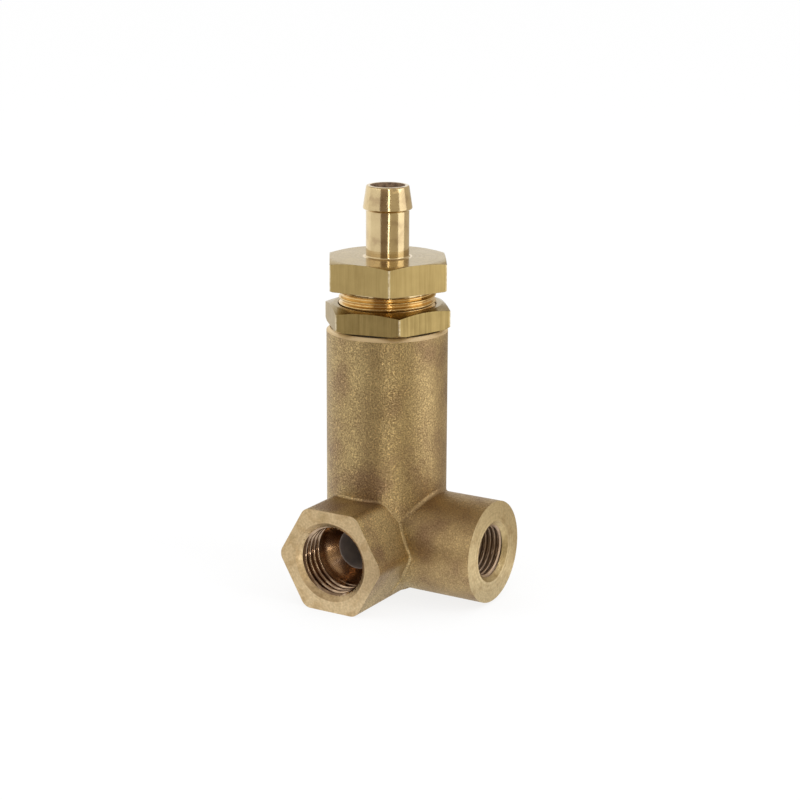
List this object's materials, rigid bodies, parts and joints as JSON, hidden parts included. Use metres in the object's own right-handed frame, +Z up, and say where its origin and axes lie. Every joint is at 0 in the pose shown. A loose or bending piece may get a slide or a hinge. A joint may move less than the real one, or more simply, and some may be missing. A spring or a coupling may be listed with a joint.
{
  "type": "espresso machine expansion valve",
  "caption": "Cast brass spring relief valve with a hexagonal threaded inlet, a round threaded outlet, a hollow adjusting screw with hose barb, and a lock nut.",
  "frame": {"origin": "on the tower's axis, in the plane of the body's base and of the inlet boss's lower flat", "axes": "+Z up the tower towards the hose barb, -Y out of the hexagonal inlet, +X out of the round outlet"},
  "size_m": [0.0331, 0.0297, 0.0718],
  "materials": {
    "cast_brass": "grainy as-cast brass with machined port faces",
    "turned_brass": "turned and milled brass",
    "spring_steel": "bright stainless spring wire",
    "seal_rubber": "matt black rubber",
    "seal_ring": "matt dark sealing ring"
  },
  "bodies": {
    "valve_body": {"valve_body": "cast_brass", "relief_spring": "spring_steel"},
    "spring_plate": {"spring_plate": "turned_brass"},
    "drain_adjuster": {"drain_adjuster": "turned_brass"},
    "lock_nut_seal": {"lock_nut_seal": "seal_ring"},
    "lock_nut": {"lock_nut": "turned_brass"},
    "poppet": {"poppet": "turned_brass", "poppet_seal": "seal_rubber"}
  },
  "joints": [
    {"name": "adjuster_travel", "type": "slide", "parent": "valve_body", "child": "spring_plate", "axis": [0, 0, 1], "range_m": [-0.002, 0.002]},
    {"name": "adjuster_turn", "type": "hinge", "parent": "spring_plate", "child": "drain_adjuster", "pos_m": [0, 0, 0.0568], "axis": [0, 0, 1], "range_deg": [-720, 720]},
    {"name": "lock_nut_travel", "type": "slide", "parent": "valve_body", "child": "lock_nut_seal", "axis": [0, 0, 1], "range_m": [0, 0.001]},
    {"name": "lock_nut_turn", "type": "hinge", "parent": "lock_nut_seal", "child": "lock_nut", "pos_m": [0, 0, 0.0493], "axis": [0, 0, 1], "range_deg": [0, 360]},
    {"name": "poppet_lift", "type": "slide", "parent": "valve_body", "child": "poppet", "axis": [0, 0, 1], "range_m": [0, 0.0025], "stiffness_N_per_m": 10000, "deforming": ["relief_spring"]}
  ],
  "couplings": [
    {"joint": "adjuster_turn", "follows": "adjuster_travel", "rad_per_m": 6283.2},
    {"joint": "lock_nut_turn", "follows": "lock_nut_travel", "rad_per_m": 6283.2}
  ]
}
